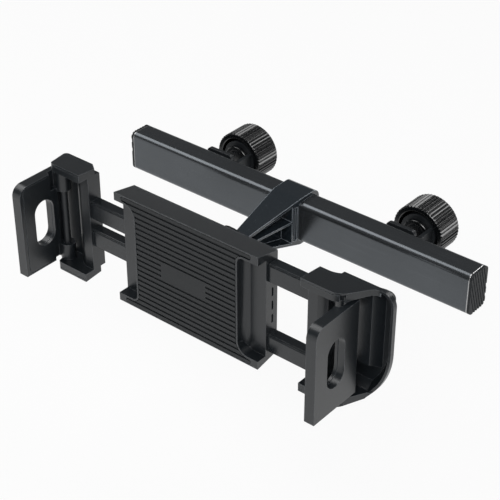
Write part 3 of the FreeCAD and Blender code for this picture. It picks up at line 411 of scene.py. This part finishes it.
def soften_edges(node, width):
    """Small rounded edges, drawn by modifiers, on a solid that keeps its own mesh."""
    weld = node.modifiers.new("weld", "WELD")
    weld.merge_threshold = WELD_DISTANCE
    flat = node.modifiers.new("flat_faces", "DECIMATE")
    flat.decimate_type = "DISSOLVE"
    flat.angle_limit = FLAT_ANGLE
    bevel = node.modifiers.new("edges", "BEVEL")
    bevel.width = width
    bevel.segments = ROUND_STEPS
    bevel.limit_method = "ANGLE"
    bevel.angle_limit = ROUND_ANGLE
    bevel.use_clamp_overlap = True
    bevel.harden_normals = False
    bevel.miter_outer = "MITER_ARC"
    even = node.modifiers.new("normals", "WEIGHTED_NORMAL")
    even.keep_sharp = True
    even.weight = FACE_WEIGHT


def dress(node, material):
    """Gives every face of a node one material."""
    node.data.materials.clear()
    node.data.materials.append(material)


def add_piece(name, mesh):
    """A new object that shows a mesh."""
    piece = bpy.data.objects.new(name, mesh)
    bpy.context.scene.collection.objects.link(piece)
    return piece


def smooth(piece):
    """Smooth shading that breaks at real edges."""
    piece.data.polygons.foreach_set("use_smooth", [True] * len(piece.data.polygons))
    piece.data.set_sharp_from_angle(angle=CREASE_ANGLE)


def around(centre, radius, along, turn):
    """Rings of points round an axis along Y.

    A point stands off the axis by the radius, in the direction of its turn, and its Y is
    its place along the axis. The three are numbers, columns, rows or whole grids."""
    radius, along, turn = np.broadcast_arrays(radius, along, turn)
    return np.stack([centre[0] + radius * np.cos(turn), along,
                     centre[2] + radius * np.sin(turn)], axis=-1)


def ring_mesh(name, points):
    """A smooth piece from rows x columns x 3 points, each row a ring joined to itself."""
    rows, columns = points.shape[:2]
    index = np.arange(rows * columns).reshape(rows, columns)
    following = np.roll(index, -1, axis=1)
    faces = np.stack([index[:-1], following[:-1], following[1:], index[1:]], axis=-1)
    mesh = bpy.data.meshes.new(name)
    mesh.from_pydata(points.reshape(-1, 3).tolist(), [], faces.reshape(-1, 4).tolist())
    mesh.update()
    piece = add_piece(name, mesh)
    smooth(piece)
    return piece


def threaded_rod(name, low, high, pitch, depth):
    """A rod along Y with a screw thread, in a box from low to high.

    Its radius is the rod's own, less the thread's depth times a V wave. The wave runs in
    the distance along the rod less the pitch times the share of the turn, and fades out
    to nothing over the last pitch at each end. Both ends close onto the axis, the low one
    by a plain tip and a short cone."""
    centre = (low + high) / 2
    radius = (high.x - low.x) / 2
    neck = low.y + TIP_LENGTH
    start = neck + TIP_CONE
    end = high.y
    steps = int(round((end - start) / pitch * RINGS_A_TURN))
    along = np.linspace(start, end, steps)[:, None]
    turn = np.linspace(0.0, 2 * math.pi, ROD_POINTS, endpoint=False)[None, :]
    phase = (along - pitch * turn / (2 * math.pi)) / pitch
    wave = np.abs((phase % 1.0) - 0.5) * 2.0
    groove = np.clip(wave * V_STEEPNESS - V_CUT, 0.0, 1.0)
    fade = np.clip(np.minimum(along - start, end - along) / pitch, 0.0, 1.0)
    tip_radii = np.array([0.0, radius - TIP_STEP, radius - TIP_STEP])[:, None]
    tip_places = np.array([low.y, low.y, neck])[:, None]
    points = np.concatenate([around(centre, tip_radii, tip_places, turn),
                             around(centre, radius - depth * groove * fade, along, turn),
                             around(centre, 0.0, end, turn)])
    return ring_mesh(name, points)


def cross_head_screw(name, centre, head, shank, top, length):
    """A countersunk screw along Y, its head at the +Y end, with a cross recess.

    The head's face is a disc of rings. Its depth is the recess's, times how far the point
    lies inside the nearer of two crossed bars, times how far it lies inside their length,
    both from 0 to 1 over a slope. A cone below it leads into a plain shank."""
    turn = np.linspace(0.0, 2 * math.pi, HEAD_POINTS, endpoint=False)[None, :]
    reach = np.linspace(0.0, 1.0, HEAD_RINGS)[:, None] * head
    x = reach * np.cos(turn)
    z = reach * np.sin(turn)
    off_bar = np.minimum(np.abs(x), np.abs(z))
    across = np.clip((BAR_HALF_WIDTH - off_bar) / BAR_SLOPE, 0.0, 1.0)
    inside = np.clip((BAR_REACH - np.hypot(x, z)) / BAR_END_SLOPE, 0.0, 1.0)
    drop = across * inside * RECESS_DEPTH
    radii = np.array([head, shank, shank, 0.0])[:, None]
    places = top - np.array([HEAD_RIM, HEAD_HEIGHT, length, length])[:, None]
    points = np.concatenate([around(centre, reach, top - drop, turn),
                             around(centre, radii, places, turn)])
    return ring_mesh(name, points[:, ::-1])


def join(name, parts):
    """One smooth piece from several."""
    built = bmesh.new()
    for part in parts:
        built.from_mesh(part.data)
    mesh = bpy.data.meshes.new(name)
    built.to_mesh(mesh)
    built.free()
    for part in parts:
        bpy.data.objects.remove(part)
    piece = add_piece(name, mesh)
    smooth(piece)
    return piece


class MountSettings(bpy.types.PropertyGroup):
    """Sizes of the fine pieces, in metres, and colours of the finishes."""

    thread_pitch: bpy.props.FloatProperty(
        name="Thread pitch", description="Step of the knobs' screw threads for one turn",
        default=0.002, min=0.0005, precision=5, subtype="DISTANCE", unit="LENGTH")
    thread_depth: bpy.props.FloatProperty(
        name="Thread depth", description="How deep the thread is cut into the rod",
        default=0.00055, min=0.0, precision=5, subtype="DISTANCE", unit="LENGTH")
    edge_width: bpy.props.FloatProperty(
        name="Edge rounding", description="Width of the small rounding on the solids' edges",
        default=0.0003, min=0.0, precision=5, subtype="DISTANCE", unit="LENGTH")
    screw_inner: bpy.props.FloatProperty(
        name="Inner screws", description="Distance of the two inner screws from the middle",
        default=0.022, min=0.0, precision=5, subtype="DISTANCE", unit="LENGTH")
    screw_outer: bpy.props.FloatProperty(
        name="Outer screws", description="Distance of the two outer screws from the middle",
        default=0.046, min=0.0, precision=5, subtype="DISTANCE", unit="LENGTH")
    shank_radius: bpy.props.FloatProperty(
        name="Screw shank", description="Radius of the housing screws below the head",
        default=0.00125, min=0.0001, precision=5, subtype="DISTANCE", unit="LENGTH")
    bar_colour: bpy.props.FloatVectorProperty(
        name="Bar colour", description="Darkest tone of the crossbar's anodised metal",
        default=(0.0736, 0.0800, 0.0864), min=0.0, max=1.0, subtype="COLOR")
    arm_colour: bpy.props.FloatVectorProperty(
        name="Arm colour", description="Colour of the polished arm between its rims",
        default=(0.01332, 0.01800, 0.02268), min=0.0, max=1.0, subtype="COLOR")
    shell_colour: bpy.props.FloatVectorProperty(
        name="Holder colour", description="Colour of the shells, claws and jaws",
        default=(0.0088, 0.0110, 0.0132), min=0.0, max=1.0, subtype="COLOR")
    knob_colour: bpy.props.FloatVectorProperty(
        name="Knob colour", description="Colour of the fluted knobs",
        default=(0.0024, 0.0030, 0.0036), min=0.0, max=1.0, subtype="COLOR")
    cap_colour: bpy.props.FloatVectorProperty(
        name="End cap colour", description="Colour of the plugs in the crossbar's ends",
        default=(0.0064, 0.0080, 0.0096), min=0.0, max=1.0, subtype="COLOR")


class StageSettings(bpy.types.PropertyGroup):
    """How the object is seen and lit."""

    camera_place: bpy.props.FloatVectorProperty(
        name="Camera place", description="Where the camera stands",
        default=(0.4664, -0.6275, 0.4758), subtype="TRANSLATION", unit="LENGTH")
    azimuth: bpy.props.FloatProperty(
        name="Camera azimuth", description="Angle of the view round the object, from the front",
        default=math.radians(39.69), subtype="ANGLE", unit="ROTATION")
    elevation: bpy.props.FloatProperty(
        name="Camera elevation", description="How steeply the camera looks down",
        default=math.radians(33.37), subtype="ANGLE", unit="ROTATION")
    lens: bpy.props.FloatProperty(
        name="Lens", description="Focal length on a film 36 mm wide",
        default=102.46, min=1.0, unit="CAMERA")
    floor_drop: bpy.props.FloatProperty(
        name="Floor below the object", description="Gap between the object and the floor",
        default=0.12, min=0.0, subtype="DISTANCE", unit="LENGTH")
    lamp_power: bpy.props.FloatProperty(
        name="Lamp power", description="Power of the lamps, which share it between them",
        default=50.0, min=0.0, subtype="POWER", unit="POWER")
    room_level: bpy.props.FloatProperty(
        name="Room level", description="Brightness of the room above its pale horizon",
        default=0.12, min=0.0, max=1.0, subtype="FACTOR")


class MOUNT_OT_finishes(bpy.types.Operator):
    """Gives each solid its material and small rounded edges"""

    bl_idname = "mount.finishes"
    bl_label = "Finish the solids"

    def execute(self, context):
        settings = context.scene.mount_settings
        low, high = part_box("crossbar")
        # Each grained plastic's edges are painted paler by its given share, as a painted
        # highlight
        materials = {
            "bar_metal": anodised_bar(settings.bar_colour, low.x, high.x),
            "arm_plastic": gloss_arm(settings.arm_colour),
            "shell_plastic": grained_plastic(
                "shell_grained", settings.shell_colour,
                size=0.22 * MM, rough=0.22, depth=0.03 * MM, edge_highlight=0.7),
            "rail_plastic": sliding_rail(),
            "knob_plastic": grained_plastic(
                "knob_grained", settings.knob_colour,
                size=0.18 * MM, rough=0.12, depth=0.003 * MM, edge_highlight=0.1),
            "soft_rubber": soft_rubber(),
            "steel": turned_steel(),
            "black_steel": painted_steel(),
        }
        cap = grained_plastic("cap_grained", settings.cap_colour,
                              size=0.20 * MM, rough=0.50, depth=0.02 * MM, edge_highlight=0.15, ior=1.4)
        for entry in frame["record"]["subparts"]:
            name = entry["node"]
            node = frame["nodes"][name]
            is_cap = name.startswith("end_cap")
            dress(node, cap if is_cap else materials[entry["material_slot"]])
            soften_edges(node, FINE_EDGES.get(name, settings.edge_width))
        return {"FINISHED"}


class MOUNT_OT_threads(bpy.types.Operator):
    """Replaces the knobs' plain rods with threaded ones"""

    bl_idname = "mount.threads"
    bl_label = "Cut the knob threads"

    def execute(self, context):
        settings = context.scene.mount_settings
        for side in ("left", "right"):
            low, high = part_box("clamp_screw_" + side)
            piece = threaded_rod("screw_thread_" + side, low, high,
                                 settings.thread_pitch, settings.thread_depth)
            dress(piece, bpy.data.materials["steel_turned"])
            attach(piece, "screw_" + side)
            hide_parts("clamp_screw_" + side)
        return {"FINISHED"}


class MOUNT_OT_screws(bpy.types.Operator):
    """Replaces the housing's plain screws with cross-recessed ones"""

    bl_idname = "mount.screws"
    bl_label = "Cut the screw recesses"

    def execute(self, context):
        settings = context.scene.mount_settings
        low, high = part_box("housing_screws")
        middle = (low + high) / 2
        head = (high.z - low.z) / 2
        inner, outer = settings.screw_inner, settings.screw_outer
        parts = []
        for order, along in enumerate((-outer, -inner, inner, outer)):
            centre = Vector((middle.x + along, 0.0, middle.z))
            parts.append(cross_head_screw("screw_%d" % order, centre, head,
                                          settings.shank_radius, high.y, high.y - low.y))
        piece = join("housing_screws_cut", parts)
        dress(piece, bpy.data.materials["steel_black"])
        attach(piece, "holder")
        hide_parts("housing_screws")
        return {"FINISHED"}


def plane_lamp(name, place, wide, tall, power):
    """A soft rectangular lamp that points at the object."""
    lamp = bpy.data.lights.new(name, "AREA")
    lamp.shape = "RECTANGLE"
    lamp.size = wide
    lamp.size_y = tall
    lamp.energy = power
    holder = bpy.data.objects.new(name, lamp)
    holder.location = place
    way = Vector(LAMP_TARGET) - Vector(place)
    holder.rotation_euler = way.to_track_quat("-Z", "Y").to_euler()
    bpy.context.scene.collection.objects.link(holder)


def looked_at(surface):
    """1 for what the eye sees straight, mirrored or through glass, and 0 for lighting."""
    path = add_node(surface.tree, "ShaderNodeLightPath")
    seen = Signal(surface.tree, path.outputs["Is Camera Ray"])
    gloss = Signal(surface.tree, path.outputs["Is Glossy Ray"])
    glass = Signal(surface.tree, path.outputs["Is Transmission Ray"])
    return (seen + gloss + glass).clamped()


class MOUNT_OT_stage(bpy.types.Operator):
    """Sets up the camera, the floor, the lamps and the world"""

    bl_idname = "mount.stage"
    bl_label = "Set the stage"

    def execute(self, context):
        settings = context.scene.stage_settings
        self.camera(context.scene, settings)
        self.floor(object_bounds()[0][2] - settings.floor_drop)
        self.room(context.scene, settings.room_level)
        for name, place, wide, tall, share in LAMPS:
            plane_lamp(name, place, wide, tall, settings.lamp_power * share)
        return {"FINISHED"}

    def camera(self, scene, settings):
        """The camera at the photograph's viewing angle."""
        camera = bpy.data.cameras.new("camera")
        camera.sensor_width = FILM_WIDTH
        camera.lens = settings.lens
        camera.clip_start = NEAREST
        camera.clip_end = FARTHEST
        eye = bpy.data.objects.new("camera", camera)
        eye.location = settings.camera_place
        eye.rotation_euler = (math.pi / 2 - settings.elevation, 0.0, settings.azimuth)
        scene.collection.objects.link(eye)
        scene.camera = eye

    def floor(self, height):
        """A plain pale floor, with most of its white seen and not thrown on the object."""
        far = FLOOR_REACH
        mesh = bpy.data.meshes.new("floor")
        mesh.from_pydata([(-far, -far, height), (far, -far, height),
                          (far, far, height), (-far, far, height)], [], [(0, 1, 2, 3)])
        floor = add_piece("floor", mesh)
        floor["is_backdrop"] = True
        surface = Surface("floor_pale")
        surface.finish(Base_Color=FLOOR_COLOUR, Roughness=FLOOR_ROUGHNESS)
        plain = Signal(surface.tree, surface.shader.outputs[0])
        glow = surface.node("ShaderNodeEmission", 0, {"Color": WHITE, "Strength": 1.0})
        share = looked_at(surface) * FLOOR_GLOW
        mixed = surface.node("ShaderNodeMixShader", 0, {0: share, 1: plain, 2: glow})
        output = surface.tree.nodes["Material Output"]
        connect(surface.tree, output.inputs["Surface"], mixed)
        dress(floor, surface.material)

    def room(self, scene, level):
        """A plain room with a pale band at and below the horizon."""
        world = bpy.data.worlds.new("studio")
        world.use_nodes = True
        scene.world = world
        tree = world.node_tree
        way = Signal(tree, add_node(tree, "ShaderNodeTexCoord").outputs["Generated"])
        parts = add_node(tree, "ShaderNodeSeparateXYZ", {0: way})
        height = Signal(tree, parts.outputs["Z"])
        pale = 1.0 - height.between(HORIZON_LOW, HORIZON_HIGH)
        background = tree.nodes["Background"]
        background.inputs["Color"].default_value = WHITE
        connect(tree, background.inputs["Strength"], pale * (HORIZON_LEVEL - level) + level)


class MOUNT_PT_panel(bpy.types.Panel):
    """Sizes, colours and buttons for the mount"""

    bl_idname = "MOUNT_PT_panel"
    bl_label = "Tablet mount"
    bl_space_type = "VIEW_3D"
    bl_region_type = "UI"
    bl_category = "Mount"

    def draw(self, context):
        column = self.layout.column()
        scene = context.scene
        for group in (scene.mount_settings, scene.stage_settings):
            for name in group.bl_rna.properties.keys():
                if name not in ("name", "rna_type"):
                    column.prop(group, name)
        for kind in (MOUNT_OT_finishes, MOUNT_OT_threads, MOUNT_OT_screws, MOUNT_OT_stage):
            column.operator(kind.bl_idname)


CLASSES = (MountSettings, StageSettings, MOUNT_OT_finishes, MOUNT_OT_threads,
           MOUNT_OT_screws, MOUNT_OT_stage, MOUNT_PT_panel)


def register():
    """Makes the classes and their settings known to Blender."""
    for kind in CLASSES:
        bpy.utils.register_class(kind)
    bpy.types.Scene.mount_settings = bpy.props.PointerProperty(type=MountSettings)
    bpy.types.Scene.stage_settings = bpy.props.PointerProperty(type=StageSettings)


def unregister():
    """Takes them out again, in reverse order."""
    del bpy.types.Scene.stage_settings
    del bpy.types.Scene.mount_settings
    for kind in reversed(CLASSES):
        bpy.utils.unregister_class(kind)


def main():
    """Builds everything in order."""
    register()
    bpy.context.scene.view_settings.view_transform = "Standard"
    bpy.ops.mount.finishes()
    bpy.ops.mount.threads()
    bpy.ops.mount.screws()
    bpy.ops.mount.stage()


if __name__ == "__main__":
    main()
